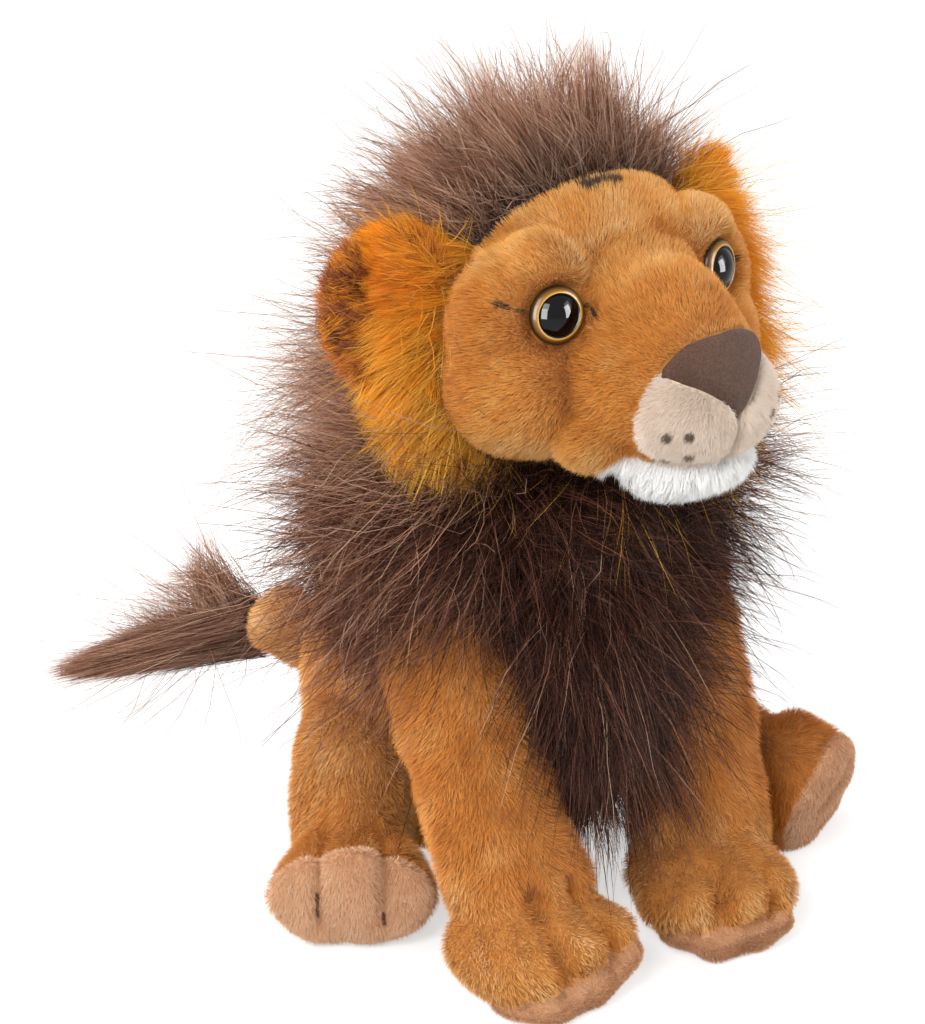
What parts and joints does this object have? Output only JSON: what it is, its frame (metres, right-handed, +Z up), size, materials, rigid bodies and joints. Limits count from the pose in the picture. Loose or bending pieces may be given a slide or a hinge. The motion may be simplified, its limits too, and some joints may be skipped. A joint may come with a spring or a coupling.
{
  "type": "plush lion",
  "caption": "Seated plush lion with a long-pile mane, padded nose, plastic eyes, and a head, ears, legs and tail that flex on their seams.",
  "frame": {"origin": "middle of the flat patch under the rump that the lion sits on", "axes": "+Z up, the lion faces -Y and its left side is +X"},
  "size_m": [0.208, 0.3015, 0.256],
  "materials": {
    "plush_gold": "short matt plush",
    "plush_back": "short matt plush",
    "ruff_pile": "long pile",
    "ear_pile": "short pile",
    "lip_plush": "short matt plush",
    "chin_pile": "white pile",
    "nose_knit": "flat brushed knit",
    "mane_pile": "long pile with sheen",
    "sole_plush": "short velboa",
    "fibre_filling": "polyester fibre",
    "eye_amber": "polished",
    "eye_black": "polished",
    "washer_plastic": "matt"
  },
  "bodies": {
    "torso": {"torso_cover": "plush_gold", "torso_stuffing": "fibre_filling", "mane_collar": "mane_pile", "mane_bib": "mane_pile"},
    "neck": {"neck_cover": "plush_back", "neck_stuffing": "fibre_filling"},
    "head": {"face_panel": "plush_gold", "head_back_panel": "plush_back", "head_stuffing": "fibre_filling", "muzzle_bridge": "plush_gold", "lip_right": "lip_plush", "lip_left": "lip_plush", "chin_panel": "chin_pile", "nose_patch": "nose_knit", "eye_bezel_right": "eye_amber", "eye_pupil_right": "eye_black", "eye_washer_right": "washer_plastic", "eye_bezel_left": "eye_amber", "eye_pupil_left": "eye_black", "eye_washer_left": "washer_plastic", "ruff_right": "ruff_pile", "ruff_left": "ruff_pile", "mane_crown": "mane_pile"},
    "ear_right": {"ear_back_right": "ear_pile", "ear_lining_right": "ruff_pile"},
    "ear_left": {"ear_back_left": "ear_pile", "ear_lining_left": "ruff_pile"},
    "front_leg_right": {"front_leg_right_cover": "plush_gold", "front_leg_right_stuffing": "fibre_filling", "front_leg_right_sole": "sole_plush"},
    "front_leg_left": {"front_leg_left_cover": "plush_gold", "front_leg_left_stuffing": "fibre_filling", "front_leg_left_sole": "sole_plush"},
    "hind_leg_right": {"hind_leg_right_cover": "plush_gold", "hind_leg_right_stuffing": "fibre_filling", "hind_leg_right_sole": "sole_plush"},
    "hind_leg_left": {"hind_leg_left_cover": "plush_gold", "hind_leg_left_stuffing": "fibre_filling", "hind_leg_left_sole": "sole_plush"},
    "tail": {"tail_cover": "plush_gold", "tail_stuffing": "fibre_filling", "tail_tuft": "mane_pile"}
  },
  "joints": [
    {"name": "head_nod", "type": "hinge", "parent": "torso", "child": "neck", "pos_m": [0, -0.046, 0.134], "axis": [1, 0, 0], "range_deg": [-8, 8], "stiffness_Nm_per_rad": 4, "deforming": ["mane_collar", "mane_bib"]},
    {"name": "head_turn", "type": "hinge", "parent": "neck", "child": "head", "pos_m": [0, -0.046, 0.168], "axis": [0, 0, 1], "range_deg": [-26, 10], "stiffness_Nm_per_rad": 1.5, "deforming": ["mane_crown"]},
    {"name": "ear_fold_right", "type": "hinge", "parent": "head", "child": "ear_right", "pos_m": [-0.04464, -0.05742, 0.194], "axis": [0, 0, 1], "range_deg": [-14, 14], "stiffness_Nm_per_rad": 0.05},
    {"name": "ear_fold_left", "type": "hinge", "parent": "head", "child": "ear_left", "pos_m": [0.04339, -0.03871, 0.194], "axis": [0, 0, 1], "range_deg": [-14, 14], "stiffness_Nm_per_rad": 0.05},
    {"name": "front_leg_right_swing", "type": "hinge", "parent": "torso", "child": "front_leg_right", "pos_m": [-0.034, -0.044, 0.114], "axis": [1, 0, 0], "range_deg": [-26, 4], "stiffness_Nm_per_rad": 1},
    {"name": "front_leg_left_swing", "type": "hinge", "parent": "torso", "child": "front_leg_left", "pos_m": [0.034, -0.044, 0.114], "axis": [1, 0, 0], "range_deg": [-26, 4], "stiffness_Nm_per_rad": 1},
    {"name": "hind_leg_right_swing", "type": "hinge", "parent": "torso", "child": "hind_leg_right", "pos_m": [-0.03, 0.006, 0.042], "axis": [1, 0, 0], "range_deg": [-14, 3], "stiffness_Nm_per_rad": 1},
    {"name": "hind_leg_left_swing", "type": "hinge", "parent": "torso", "child": "hind_leg_left", "pos_m": [0.03, 0.006, 0.042], "axis": [1, 0, 0], "range_deg": [-14, 3], "stiffness_Nm_per_rad": 1},
    {"name": "tail_swing", "type": "hinge", "parent": "torso", "child": "tail", "pos_m": [0.002, 0.05, 0.024], "axis": [0, 0, 1], "range_deg": [-22, 22], "stiffness_Nm_per_rad": 0.3}
  ]
}
